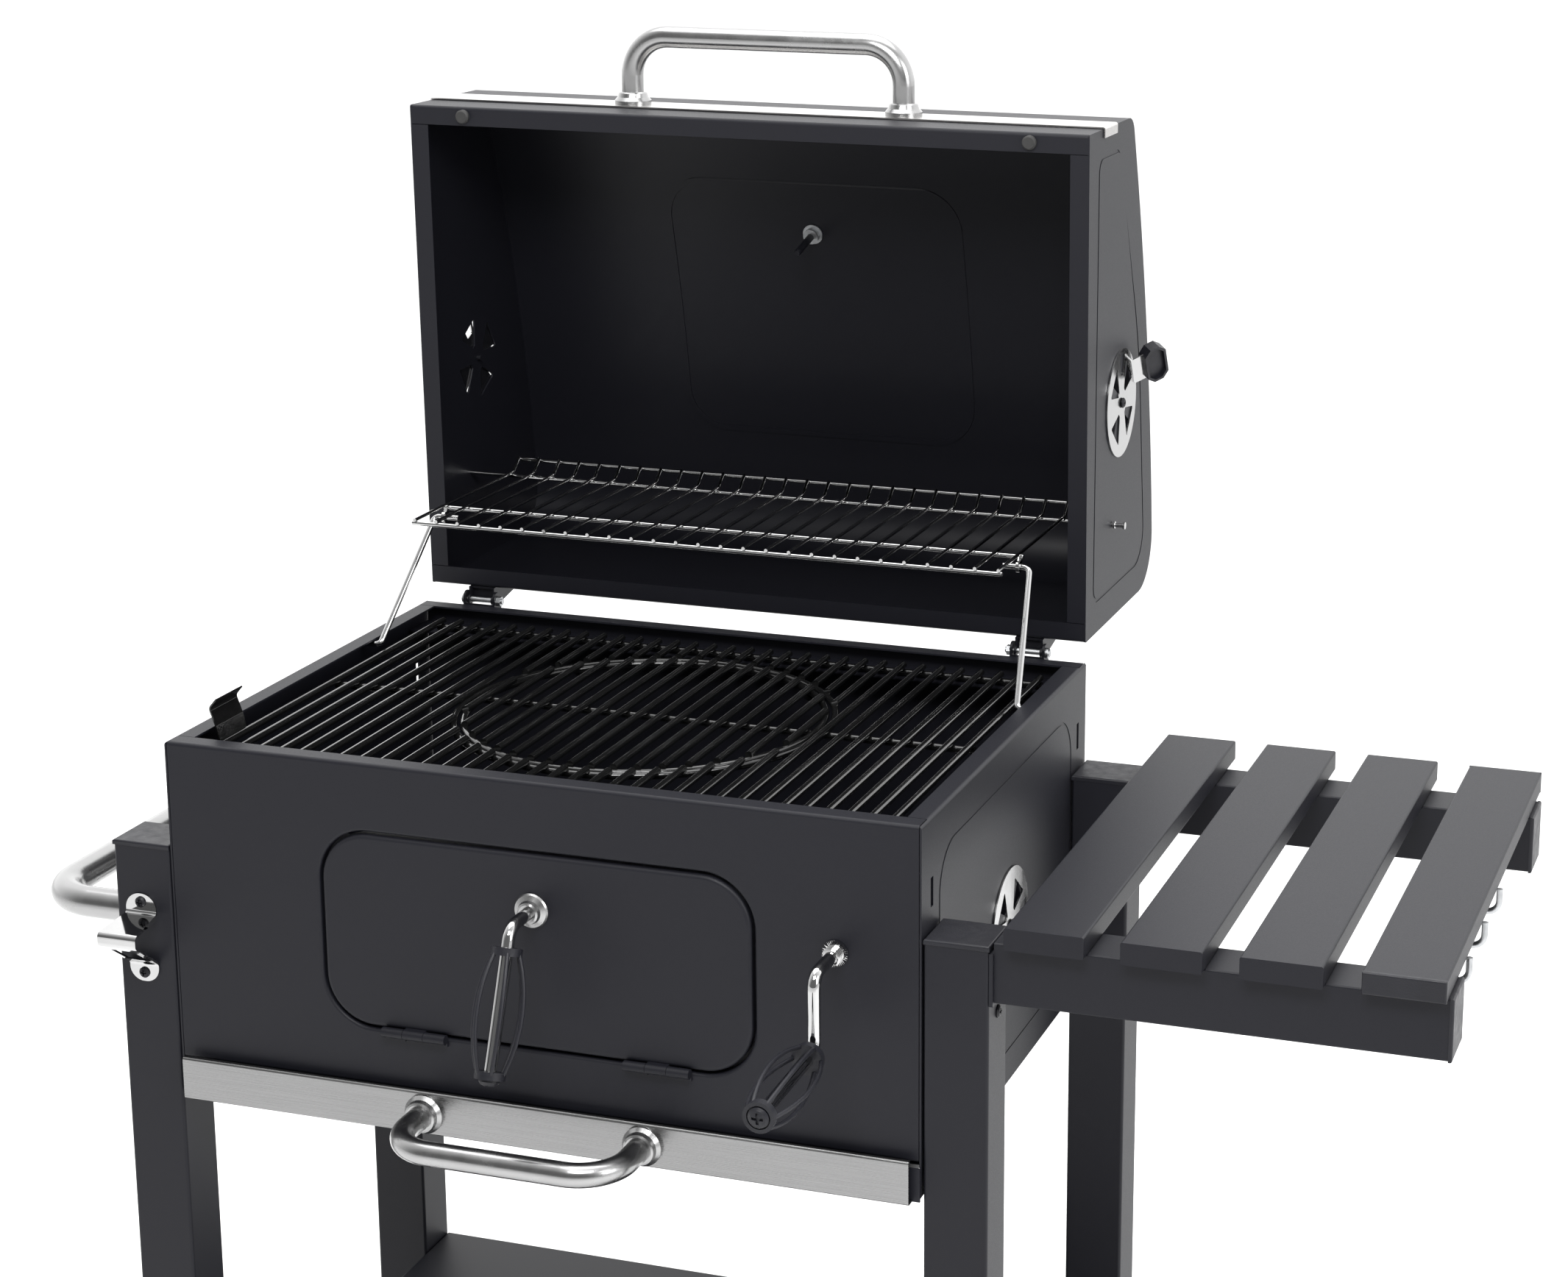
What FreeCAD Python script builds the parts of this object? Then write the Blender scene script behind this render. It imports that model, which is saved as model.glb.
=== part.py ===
import FreeCAD, Part
import math
import os

# A charcoal grill cart with a rectangular firebox, a hinged lid shown open, a swinging warming
# rack, a crank-lifted coal pan, an ash drawer, a slatted side shelf and a push handle.
# Everything is drawn from the middle of the firebox's front top edge, X to the right, Y to the
# back and Z up, in millimetres. save() then moves it so that the origin lies on the floor under
# the middle of the whole cart.

V = FreeCAD.Vector

# Driving dimensions
RIM_HEIGHT = 855.0            # firebox rim above the floor
BOX_W = 624.0                 # firebox outside width
BOX_D = 438.0                 # firebox outside depth
BOX_H = 294.5                 # firebox side panel height
SHEET = 1.5                   # sheet metal thickness
FLANGE = 16.5                 # inward flange round the rim and round the lid's mouth
SEAM = 0.6                    # open seam between neighbouring panels
ORIGIN_X = 122.5              # middle of the whole cart, measured from the firebox
ORIGIN_Y = 254.3

LEG_W = 50.0                  # leg tube, along X
LEG_D = 45.0                  # leg tube, along Y
LEG_TOP = -86.4               # top of the leg caps
LEG_WALL = 1.5
LEG_X = BOX_W / 2 + 26.5      # middle of each leg
LEG_REAR_Y = 392.0            # front face of the rear legs
FOOT_H = 12.0
WHEEL_R = 80.0
WHEEL_W = 36.0
AXLE_R = 6.0
AXLE_Z = WHEEL_R - RIM_HEIGHT
RUN_FIT = 0.05                # radial clearance of every running fit
GAP = 0.3                     # clearance between pieces that slide past each other

SHELF_TOP = -627.0            # lower shelf
SLAT_W = 60.0                 # side shelf
SLAT_T = 17.0
SLAT_PITCH = 87.0
SLAT_COUNT = 4
SLAT_X = 377.0
SLAT_Y = (-8.3, 470.0)
ARM_TOP = -84.2
ARM_H = 47.0
ARM_D = 44.0
ARM_X = (366.5, 699.0)
ARM_FRONT_Y = 3.0
ARM_REAR_Y = 401.0
ARM_CAP = 3.0

HINGE_X = 259.1               # lid hinge
HINGE_Y = 444.5
HINGE_Z = 3.0
HINGE_PIN_R = 2.5
LID_W = 618.0
LID_MOUTH_TOP = (437.0, 450.1)
LID_MOUTH_LOW = (446.0, 14.7)
LID_CROWN = [(576.3, 450.1, 18.0), (647.3, 246.1, 1560.0), (672.7, 14.7, 45.0)]
STRIP_Y = (479.0, 519.0)      # stainless strip along the lid's front wall
LID_POST_X = 125.5
LID_POST_Y = 502.5
HANDLE_R = 9.5
LID_HANDLE_RISE = 59.0
VENT_R = 47.5
VENT_WEDGE = [(13.0, -10.0), (38.0, -24.0), (38.0, 24.0), (13.0, 10.0)]
VENT_PHASE = 51.0             # angle of the first opening above +Y
VENT_PART_OPEN = 20.0         # the disc rests this far round from fully open
VENT_TAB_DEG = 30.0           # place of the disc's tab above +Y
BOX_VENT_TURN = -90.0         # the firebox's tabs hang down behind, under the shelf
VENT_TAB_AT = 41.0            # the tab's fold, measured from the disc's middle
VENT_NOTCH = [(25.0, 80.0), (44.5, 80.0), (44.5, 102.0), (25.0, 102.0)]
VENT_STEM_R = 2.8
LID_VENT = (547.9, 204.5)
BOX_VENT = (219.0, -156.4)
THERMO = (615.7, 327.0)       # thermometer axis where it meets the lid's outer skin
THERMO_TILT = 15.8            # slope of the skin there, degrees from vertical

RACK_PIVOT = (526.4, 100.0)   # warming rack
RACK_HALF = 268.0
RACK_WIRES = 27
RACK_WIRE_PITCH = 20.4
RACK_FRONT_Y = 336.0
RACK_MIDDLE_Y = 396.0
STAY_PIVOT = (309.0, -4.5)     # the rack's two swinging arms
STAY_R = 2.5
STAY_FOOT_X = 289.6
STAY_HEAD_X = 275.0

GRATE_BARS = 33               # cooking grate
GRATE_PITCH = 17.5
GRATE_HALF = 283.0
GRATE_ROD_Z = -14.0
GRATE_BAR_Z = -8.6
ROD_R = 3.0
RING_C = (0.0, 219.0)
RING_R = 155.0
INSERT_R = 147.0

DOOR_HALF = 178.5             # refill door
DOOR_Z = (-215.0, -57.5)
DOOR_CORNER = 40.0
DOOR_HINGE_Y = -4.5
DOOR_HINGE_Z = -216.8
DOOR_HINGE_X = 102.0
KNUCKLE_R = 4.0
KNUCKLE_L = 18.0
LATCH_Z = -101.9
LATCH_BEND_Y = -38.4
GRIP_LEAN = (34.0, 85.0)      # the latch grip leans this far forward over this drop
GRIP_L = 98.0

CRANK_X = 245.0               # crank, spindle and coal pan lift
CRANK_Z = -106.0
CRANK_BEND_Y = -45.5
CRANK_ARM = 59.0
CRANK_GRIP_TILT = 2.0
CRANK_GRIP_L = 101.0
SPINDLE_R = 5.0
PAN_HALF = 282.0
PAN_Y = (12.0, 423.0)
PAN_Z = (-235.0, -190.0)
PAN_PINS_Y = (130.0, 310.0)
PAN_PIN_R = 4.0
PAN_PIN_Z = -205.0
LIFT = 75.0                   # pan rise
CARRIAGE_TRAVEL = 100.0       # carriage travel for the whole rise

DRAWER_FRONT_Y = -10.7        # ash drawer
DRAWER_Z = (-295.5, -260.0)
DRAWER_FRONT_HALF = 305.5
TRAY_HALF = 294.0
TRAY_TOP = -268.6
PANEL_LOW = -264.5            # lower edge of the firebox front
DRAWER_POST_X = 92.0
DRAWER_POST_Z = -277.5
DRAWER_HANDLE_Y = -75.0

PUSH_Z = -152.0               # push handle
PUSH_R = 12.5
PUSH_X = -444.5
PUSH_BEND = 42.0


# ---- small helpers -------------------------------------------------------------------------

def block(x, y, z):
    """Box between pairs of X, Y and Z limits."""
    return Part.makeBox(x[1] - x[0], y[1] - y[0], z[1] - z[0], V(x[0], y[0], z[0]))


def rod(start, end, radius):
    """Round bar between two points."""
    a, b = V(*start), V(*end)
    return Part.makeCylinder(radius, (b - a).Length, a, b - a)


def both(shape):
    """The shape and its mirror image on the other side of the cart."""
    return [shape, shape.mirror(V(0, 0, 0), V(1, 0, 0))]


def join(shapes):
    """One solid from touching or overlapping shapes."""
    return shapes[0].multiFuse(shapes[1:]).removeSplitter()


def soft_wire(points, radius, closed=False):
    """Straight runs through the points, each corner rounded by an arc."""
    corners = [V(*p) for p in points]
    count = len(corners)
    radii = radius if isinstance(radius, list) else [radius] * count
    turns = []
    for i, corner in enumerate(corners):
        if radii[i] == 0 or (not closed and i in (0, count - 1)):
            turns.append((corner, None, corner))
            continue
        back = (corners[i - 1] - corner).normalize()
        ahead = (corners[(i + 1) % count] - corner).normalize()
        half = back.getAngle(ahead) / 2
        reach = radii[i] / math.tan(half)
        inward = (back + ahead).normalize()
        middle = corner + inward * (radii[i] / math.sin(half) - radii[i])
        turns.append((corner + back * reach, middle, corner + ahead * reach))
    edges = []
    for i, (start, middle, end) in enumerate(turns):
        if middle is not None:
            edges.append(Part.Arc(start, middle, end).toShape())
        following = turns[(i + 1) % count][0]
        if (closed or i < count - 1) and (following - end).Length > 1e-6:
            edges.append(Part.LineSegment(end, following).toShape())
    return Part.Wire(edges)


def bent_rod(points, bend, radius):
    """Round bar that follows the points with rounded bends."""
    path = soft_wire(points, bend)
    start = V(*points[0])
    ring = Part.Wire(Part.makeCircle(radius, start, V(*points[1]) - start))
    return path.makePipeShell([ring], True, True)


def bent_tube(points, bend, radius, wall):
    """Round tube that follows the points with rounded bends."""
    return bent_rod(points, bend, radius).cut(bent_rod(points, bend, radius - wall))


def in_plane(axis, point, along=0.0):
    """A point of the plane square to an axis: (y, z) for X and (x, z) for Y."""
    if axis == "X":
        return (along, point[0], point[1])
    return (point[0], along, point[1])


def plate(axis, outline, radii, start, end):
    """Flat plate of a rounded outline, from start to end along the axis."""
    wire = soft_wire([in_plane(axis, p, start) for p in outline], radii, closed=True)
    run = V(end - start, 0, 0) if axis == "X" else V(0, end - start, 0)
    return Part.Face(wire).extrude(run)


def bent_sheet(axis, path, bend, start, end, thickness=SHEET):
    """Sheet folded along a path, with its thickness on the left of the path."""
    count = len(path)
    bends = bend if isinstance(bend, list) else [bend] * count
    runs = []
    for a, b in zip(path, path[1:]):
        length = math.hypot(b[0] - a[0], b[1] - a[1])
        runs.append(((b[0] - a[0]) / length, (b[1] - a[1]) / length))
    inner, outer_radii, inner_radii = [], [], []
    for i, point in enumerate(path):
        before = runs[max(i - 1, 0)]
        after = runs[min(i, count - 2)]
        turn = before[0] * after[1] - before[1] * after[0]
        scale = thickness / (1 + before[0] * after[0] + before[1] * after[1])
        inner.append((point[0] - (before[1] + after[1]) * scale,
                      point[1] + (before[0] + after[0]) * scale))
        ends = i in (0, count - 1)
        outer_radii.append(0 if ends else bends[i] + (thickness if turn > 0 else 0))
        inner_radii.append(0 if ends else bends[i] + (0 if turn > 0 else thickness))
    return plate(axis, path + inner[::-1], outer_radii + inner_radii[::-1], start, end)


def rounded_rectangle(x, z, corner, y_start, y_end):
    """Upright plate with rounded corners, square to Y."""
    outline = [(x[0], z[0]), (x[1], z[0]), (x[1], z[1]), (x[0], z[1])]
    return plate("Y", outline, corner, y_start, y_end)


def turned(profile, base, direction):
    """Solid of revolution from (radius, height) points, standing on base."""
    points = [V(r, 0, h) for r, h in profile]
    face = Part.Face(Part.makePolygon(points + [points[0]]))
    solid = face.revolve(V(0, 0, 0), V(0, 0, 1), 360)
    solid.Placement = FreeCAD.Placement(V(*base), FreeCAD.Rotation(V(0, 0, 1), V(*direction)))
    return solid


def collar(base, direction, tube_radius):
    """Stepped round foot where a handle tube meets its panel."""
    r = tube_radius + RUN_FIT
    profile = [(r, 0), (16, 0), (16, 3), (13.5, 6), (12.5, 9.5), (11, 10.5), (r, 10.5)]
    return turned(profile, base, direction)


def screw_head(point, direction, radius=4.5, height=2.6):
    """Domed screw head with a cross recess."""
    profile = [(0, 0), (radius, 0), (radius, height * 0.35), (radius * 0.75, height * 0.8),
               (radius * 0.35, height), (0, height)]
    head = turned(profile, (0, 0, 0), (0, 0, 1))
    reach, slot = radius * 0.55, radius * 0.14
    for size in ((reach, slot), (slot, reach)):
        head = head.cut(block((-size[0], size[0]), (-size[1], size[1]), (height * 0.45, height)))
    head.Placement = FreeCAD.Placement(V(*point), FreeCAD.Rotation(V(0, 0, 1), V(*direction)))
    return head


def grip_cage(base, direction, length):
    """Open whisk grip: two rings joined by six bulging ribs round a rod."""
    hole = SPINDLE_R + RUN_FIT
    ring_r, ring_h, rib_r, bulge = 12.0, 6.0, 1.7, 19.5
    rings = [turned([(hole, h), (ring_r, h), (ring_r, h + ring_h), (hole, h + ring_h)],
                    (0, 0, 0), (0, 0, 1)) for h in (0, length - ring_h)]
    seat = ring_r - rib_r - 0.3
    arc = Part.Arc(V(seat, 0, ring_h / 2), V(bulge, 0, length / 2), V(seat, 0, length - ring_h / 2))
    start = arc.value(arc.FirstParameter)
    heading = arc.tangent(arc.FirstParameter)[0]
    ring = Part.Wire(Part.makeCircle(rib_r, start, heading))
    rib = Part.Wire(arc.toShape()).makePipeShell([ring], True, True)
    ribs = [rib.copy().rotate(V(0, 0, 0), V(0, 0, 1), 60 * i) for i in range(6)]
    cage = join(rings + ribs)
    cage.Placement = FreeCAD.Placement(V(*base), FreeCAD.Rotation(V(0, 0, 1), V(*direction)))
    return cage


def pressed_line(shape, outline, radii, x):
    """The shape with a shallow pressed line along an outline, square to X."""
    wide, depth = 3.0, 0.5
    middle = [sum(p[i] for p in outline) / len(outline) for i in (0, 1)]
    inner = [tuple(c - math.copysign(wide, c - m) for c, m in zip(p, middle)) for p in outline]
    groove = plate("X", outline, radii, x - depth, x + 1)
    groove = groove.cut(plate("X", inner, [max(r - wide, 1) for r in radii], x - depth - 1, x + 2))
    return shape.cut(groove)


def polar_hole(centre, corners, turn, x):
    """Cutter square to X from (radius, degrees) corners round a centre."""
    outline = [(centre[0] + r * math.cos(math.radians(turn + deg)),
                centre[1] + r * math.sin(math.radians(turn + deg))) for r, deg in corners]
    return plate("X", outline, 1.5, x[0], x[1])


def vent_holes(shape, centre, x, phase):
    """The shape with four wedge openings and a screw hole through it, square to X."""
    cutters = [polar_hole(centre, VENT_WEDGE, phase + 90 * i, x) for i in range(4)]
    return shape.cut(cutters)


# ---- firebox -------------------------------------------------------------------------------

def firebox_front():
    """Front panel with the doorway's turned-in lip and the crank's hole."""
    half = BOX_W / 2 - SHEET - SEAM
    path = [(FLANGE, 0), (0, 0), (0, PANEL_LOW), (10, PANEL_LOW)]
    panel = bent_sheet("X", path, SHEET, -half, half)
    gap, lip = 2.5, 3.0
    door_x = (-DOOR_HALF - gap, DOOR_HALF + gap)
    door_z = (DOOR_Z[0] - gap, DOOR_Z[1] + gap)
    wide_x, wide_z = (door_x[0] - lip, door_x[1] + lip), (door_z[0] - lip, door_z[1] + lip)
    frame = rounded_rectangle(wide_x, wide_z, DOOR_CORNER + gap + lip, 0, 9)
    panel = panel.fuse(frame).removeSplitter()
    doorway = rounded_rectangle(door_x, door_z, DOOR_CORNER + gap, -1, 10)
    panel = panel.cut(doorway)
    mouth = [e for e in panel.Edges
             if abs(e.BoundBox.YMin) < 1e-6 and abs(e.BoundBox.YMax) < 1e-6
             and e.BoundBox.XMin > door_x[0] - 0.1 and e.BoundBox.XMax < door_x[1] + 0.1
             and e.BoundBox.ZMin > door_z[0] - 0.1 and e.BoundBox.ZMax < door_z[1] + 0.1]
    panel = panel.makeFillet(2.6, mouth)
    return panel.cut(rod((CRANK_X, -1, CRANK_Z), (CRANK_X, 3, CRANK_Z), 9.0))


def firebox_rear():
    """Rear panel with top and bottom flanges."""
    half = BOX_W / 2 - SHEET - SEAM
    path = [(BOX_D - 10, -BOX_H), (BOX_D, -BOX_H), (BOX_D, 0), (BOX_D - FLANGE, 0)]
    return bent_sheet("X", path, SHEET, -half, half)


def firebox_side_right():
    """Side panel with air vent holes, two hanging slots and the bail's pivot hole."""
    edge = BOX_W / 2
    path = [(edge - 10, -BOX_H), (edge, -BOX_H), (edge, 0), (edge - FLANGE, 0)]
    panel = bent_sheet("Y", path, SHEET, 0, BOX_D)
    inner = (edge - FLANGE - 1, edge - SHEET)
    for y in ((-1, FLANGE + SEAM), (BOX_D - FLANGE - SEAM, BOX_D + 1)):
        panel = panel.cut(block(inner, y, (-BOX_H - 1, 1)))
    x = (edge - SHEET - 1, edge + 1)
    for y in (24.0, 414.3):
        panel = panel.cut(block(x, (y - 3, y + 3), (-70, -47)))
    panel = vent_holes(panel, BOX_VENT, x, VENT_PHASE - VENT_PART_OPEN)
    panel = panel.cut(rod((x[0], *BOX_VENT), (x[1], *BOX_VENT), VENT_STEM_R + RUN_FIT))
    outline = [(40, -30), (395, -30), (395, -265), (40, -265)]
    panel = pressed_line(panel, outline, [40, 40, 40, 40], edge)
    return panel.cut(rod((x[0], *STAY_PIVOT), (edge - 0.3, *STAY_PIVOT), STAY_R + RUN_FIT))


def box_ledges():
    """Angles that carry the cooking grate, and side channels for the tray and the carriage."""
    top = GRATE_ROD_Z - ROD_R - 0.2
    half = BOX_W / 2 - 4
    front = bent_sheet("X", [(40, top), (SHEET, top), (SHEET, top - 14)], 1, -half, half)
    rear_y = BOX_D - SHEET
    rear = bent_sheet("X", [(rear_y, top - 14), (rear_y, top), (398, top)], 1, -half, half)
    wall = BOX_W / 2 - SHEET
    rail = TRAY_TOP - SHEET - 0.4
    upright = block((wall - SHEET, wall), (12, 434), (rail - SHEET, -240))
    low = block((297, wall), (12, 434), (rail - SHEET, rail))
    high = block((297, wall), (12, 434), (-257.5, -256))
    return Part.makeCompound([front, rear] + both(join([upright, low, high])))


def on_vent_tab(shape, side_x, centre, turn):
    """A shape drawn flat along X from the tab's fold, leant out and turned to the tab's place."""
    shape = shape.copy()
    shape.rotate(V(0, 0, 0), V(0, 0, 1), 45)
    shape.translate(V(side_x + GAP + 0.6, VENT_TAB_AT, 0))
    shape.rotate(V(0, 0, 0), V(1, 0, 0), VENT_TAB_DEG + turn)
    shape.translate(V(0, *centre))
    return shape


def air_vent(side_x, centre, turn=0.0):
    """Air vent disc with wedge openings, a notch and a leaning tab, turned round its screw."""
    face = side_x + GAP
    disc = Part.makeCylinder(VENT_R, 1.2, V(face, *centre), V(1, 0, 0))
    x = (side_x, side_x + 3)
    disc = vent_holes(disc, centre, x, VENT_PHASE + turn)
    disc = disc.cut(polar_hole(centre, VENT_NOTCH, turn, x))
    disc = disc.cut(rod((x[0], *centre), (x[1], *centre), VENT_STEM_R + RUN_FIT))
    tab = block((0, 24), (-0.6, 0.6), (-13, 13))
    return join([disc, on_vent_tab(tab, side_x, centre, turn)])


def vent_knob(side_x, centre, turn=0.0):
    """Black eight-sided knob with a hollow face, pushed on the vent's tab."""
    def octagon(x, reach, cut, y):
        outline = [(x[0], cut - reach), (x[0] + cut, -reach), (x[1] - cut, -reach), (x[1], cut - reach),
                   (x[1], reach - cut), (x[1] - cut, reach), (x[0] + cut, reach), (x[0], reach - cut)]
        return plate("Y", outline, 0, *y)
    x = (12, 33)
    knob = octagon(x, 18, 6, (-5.5, 5.5)).cut(octagon((x[0] + 2.2, x[1] - 2.2), 15.8, 5, (-6, -1.6)))
    slot = block((x[0] - 1, 24), (-0.6, 0.6), (-13, 13))
    return on_vent_tab(knob.cut(slot), side_x, centre, turn)


# ---- legs, shelves and wheels --------------------------------------------------------------

def leg(side, y_front, bottom):
    """Rectangular leg tube; the right-hand legs carry the axle."""
    x = (side * LEG_X - LEG_W / 2, side * LEG_X + LEG_W / 2)
    y = (y_front, y_front + LEG_D)
    z = (bottom, LEG_TOP - 4)
    tube = block(x, y, z)
    tube = tube.makeFillet(2.5, [e for e in tube.Edges if e.BoundBox.ZLength > 100])
    hollow = block((x[0] + LEG_WALL, x[1] - LEG_WALL), (y[0] + LEG_WALL, y[1] - LEG_WALL),
                   (bottom - 1, LEG_TOP))
    tube = tube.cut(hollow)
    if side > 0:
        tube = tube.cut(rod((LEG_X, y[0] - 1, AXLE_Z), (LEG_X, y[1] + 1, AXLE_Z), AXLE_R + RUN_FIT))
    return tube


LEG_BOTTOMS = {-1: FOOT_H - RIM_HEIGHT, 1: AXLE_Z - 25}


def tube_plug(x, y, z, rounded_face):
    """Plastic plug on the end of a rectangular tube, with softened visible edges."""
    plug = block(x, y, z)
    return plug.makeFillet(1.6, [e for e in plug.Edges if rounded_face(e.BoundBox)])


def tube_caps():
    """Black plastic caps of the legs, the shelf arms and the outer slat."""
    caps = []
    for side in (-1, 1):
        for y in (0.0, LEG_REAR_Y):
            x = (side * LEG_X - LEG_W / 2 - 0.6, side * LEG_X + LEG_W / 2)
            if side > 0:
                x = (side * LEG_X - LEG_W / 2, side * LEG_X + LEG_W / 2 + 0.6)
            caps.append(tube_plug(x, (y - 0.6, y + LEG_D + 0.6), (LEG_TOP - 4, LEG_TOP),
                                  lambda b: b.ZMin > LEG_TOP - 0.1))
    return Part.makeCompound(caps + shelf_caps())


def leg_feet():
    """Plastic feet under the left legs and plugs under the wheel legs."""
    feet = []
    for side in (-1, 1):
        bottom = LEG_BOTTOMS[side]
        height = FOOT_H if side < 0 else 5.0
        for y in (0.0, LEG_REAR_Y):
            x = (side * LEG_X - LEG_W / 2, side * LEG_X + LEG_W / 2)
            feet.append(tube_plug(x, (y, y + LEG_D), (bottom - height, bottom),
                                  lambda b: b.ZMax < bottom - height + 0.1))
    return Part.makeCompound(feet)


def lower_shelf():
    """Steel shelf with turned-down edges between the legs."""
    half = BOX_W / 2 + 1.2
    depth, wall = 24.0, 1.2
    outer = block((-half, half), (2, BOX_D - 2), (SHELF_TOP - depth, SHELF_TOP))
    outer = outer.makeFillet(3, [e for e in outer.Edges if e.BoundBox.ZMin > SHELF_TOP - 0.1])
    hollow = block((-half + wall, half - wall), (2 + wall, BOX_D - 2 - wall),
                   (SHELF_TOP - depth - 1, SHELF_TOP - wall))
    return outer.cut(hollow)


def box_tube(x, y, z, wall, open_axis=None):
    """Closed or open-ended rectangular tube with soft long edges."""
    solid = block(x, y, z)
    sizes = {"X": x[1] - x[0], "Y": y[1] - y[0]}
    longest = max(sizes, key=sizes.get)
    reach = sizes[longest] - 1
    edges = [e for e in solid.Edges
             if (e.BoundBox.XLength if longest == "X" else e.BoundBox.YLength) > reach]
    solid = solid.makeFillet(1.6, edges)
    end = -1 if open_axis else wall
    ix = (x[0] + (end if longest == "X" else wall), x[1] - (end if longest == "X" else wall))
    iy = (y[0] + (end if longest == "Y" else wall), y[1] - (end if longest == "Y" else wall))
    return solid.cut(block(ix, iy, (z[0] + wall, z[1] - wall)))


def shelf_arm(y):
    """Square tube that carries the side shelf."""
    return box_tube(ARM_X, (y, y + ARM_D), (ARM_TOP - ARM_H, ARM_TOP), SHEET, "X")


def shelf_caps():
    """Caps at the outer end of both arms and at both ends of the outer slat."""
    caps = []
    for y in (ARM_FRONT_Y, ARM_REAR_Y):
        caps.append(tube_plug((ARM_X[1], ARM_X[1] + ARM_CAP), (y - 0.5, y + ARM_D + 0.5),
                              (ARM_TOP - ARM_H - 0.5, ARM_TOP),
                              lambda b: b.XMin > ARM_X[1] + ARM_CAP - 0.1))
    x = SLAT_X + (SLAT_COUNT - 1) * SLAT_PITCH
    for y, face in (((SLAT_Y[0], SLAT_Y[0] + 3), SLAT_Y[0]), ((SLAT_Y[1] - 3, SLAT_Y[1]), SLAT_Y[1])):
        caps.append(tube_plug((x, x + SLAT_W), y, (ARM_TOP, ARM_TOP + SLAT_T),
                              lambda b: abs(b.YMin - face) < 0.1 and abs(b.YMax - face) < 0.1))
    return caps


def shelf_brackets():
    """Mounting plates between the right legs and the shelf arms."""
    plates = []
    for y in (ARM_FRONT_Y, ARM_REAR_Y):
        x = (LEG_X + LEG_W / 2, ARM_X[0])
        plates.append(block(x, (y - 2.5, y + ARM_D - 1), (ARM_TOP - ARM_H - 2, ARM_TOP - 8)))
    return Part.makeCompound(plates)


def shelf_slats():
    """Four flat tubes across the arms; the outer one is open for its end caps."""
    slats = []
    for i in range(SLAT_COUNT):
        x = SLAT_X + i * SLAT_PITCH
        last = i == SLAT_COUNT - 1
        y = (SLAT_Y[0] + 3, SLAT_Y[1] - 3) if last else SLAT_Y
        slats.append(box_tube((x, x + SLAT_W), y, (ARM_TOP, ARM_TOP + SLAT_T), 1.2,
                              "Y" if last else None))
    return Part.makeCompound(slats)


def tool_hooks():
    """Three J hooks under the outer slat."""
    hooks = []
    for i in range(3):
        y = 87.0 + 73.0 * i
        points = [(676, y, ARM_TOP), (676, y, ARM_TOP - 20), (699, y, ARM_TOP - 20),
                  (699, y, ARM_TOP - 1)]
        hooks.append(bent_rod(points, 9.0, 2.5))
    return Part.makeCompound(hooks)


def axle():
    """Axle through the right legs with end stops and spacers."""
    ends = (-WHEEL_W - 14, BOX_D + WHEEL_W + 14)
    shaft = rod((LEG_X, ends[0], AXLE_Z), (LEG_X, ends[1], AXLE_Z), AXLE_R)
    pieces = [shaft]
    for y in (ends[0], ends[1] - 3):
        pieces.append(rod((LEG_X, y, AXLE_Z), (LEG_X, y + 3, AXLE_Z), 10))
    rear_face = LEG_REAR_Y + LEG_D
    for y in ((-10, -GAP), (rear_face + GAP, BOX_D + 10)):
        pieces.append(rod((LEG_X, y[0], AXLE_Z), (LEG_X, y[1], AXLE_Z), 9))
    return join(pieces)


def wheel(y):
    """Moulded wheel with a rounded tread, a dished web and a hub."""
    bore = AXLE_R + RUN_FIT
    w = WHEEL_W
    tread = [(WHEEL_R - 14, 0), (WHEEL_R - 3, 1.5), (WHEEL_R, 6), (WHEEL_R, w - 6),
             (WHEEL_R - 3, w - 1.5), (WHEEL_R - 14, w)]
    profile = [(bore, 0), (20, 0), (22, 9), (WHEEL_R - 18, 9)] + tread
    profile += [(WHEEL_R - 18, w - 9), (22, w - 9), (20, w), (bore, w)]
    return turned(profile, (LEG_X, y, AXLE_Z), (0, 1, 0))


def push_handle():
    """Brushed tube on the left legs for moving the cart."""
    x = -LEG_X - LEG_W / 2
    y = (LEG_D / 2, LEG_REAR_Y + LEG_D / 2)
    points = [(x, y[0], PUSH_Z), (PUSH_X, y[0], PUSH_Z), (PUSH_X, y[1], PUSH_Z), (x, y[1], PUSH_Z)]
    return bent_tube(points, PUSH_BEND, PUSH_R, 1.5)


def bottle_opener():
    """Bent plate with a slot, screwed to the front left leg."""
    middle = -LEG_X - 2.5
    path = [(0, -203), (0, -187), (-37, -160), (-37, -152), (0, -147), (0, -129)]
    sheet = bent_sheet("X", path, [0, 4, 3, 3, 3, 0], middle - 17, middle + 17, 1.6)
    outline = [(middle - 13, -203), (middle + 13, -203), (middle + 13, -184), (middle + 17, -168),
               (middle + 17, -150), (middle + 13.5, -146), (middle + 13.5, -129),
               (middle - 13.5, -129), (middle - 13.5, -146), (middle - 17, -150),
               (middle - 17, -168), (middle - 13, -184)]
    radii = [12, 12, 4, 4, 1, 1, 13, 13, 1, 1, 4, 4]
    sheet = sheet.common(plate("Y", outline, radii, -45, 5))
    slot = block((middle - 10, middle + 10), (-33, 5), (-182, -166))
    return sheet.cut(slot)


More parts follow.
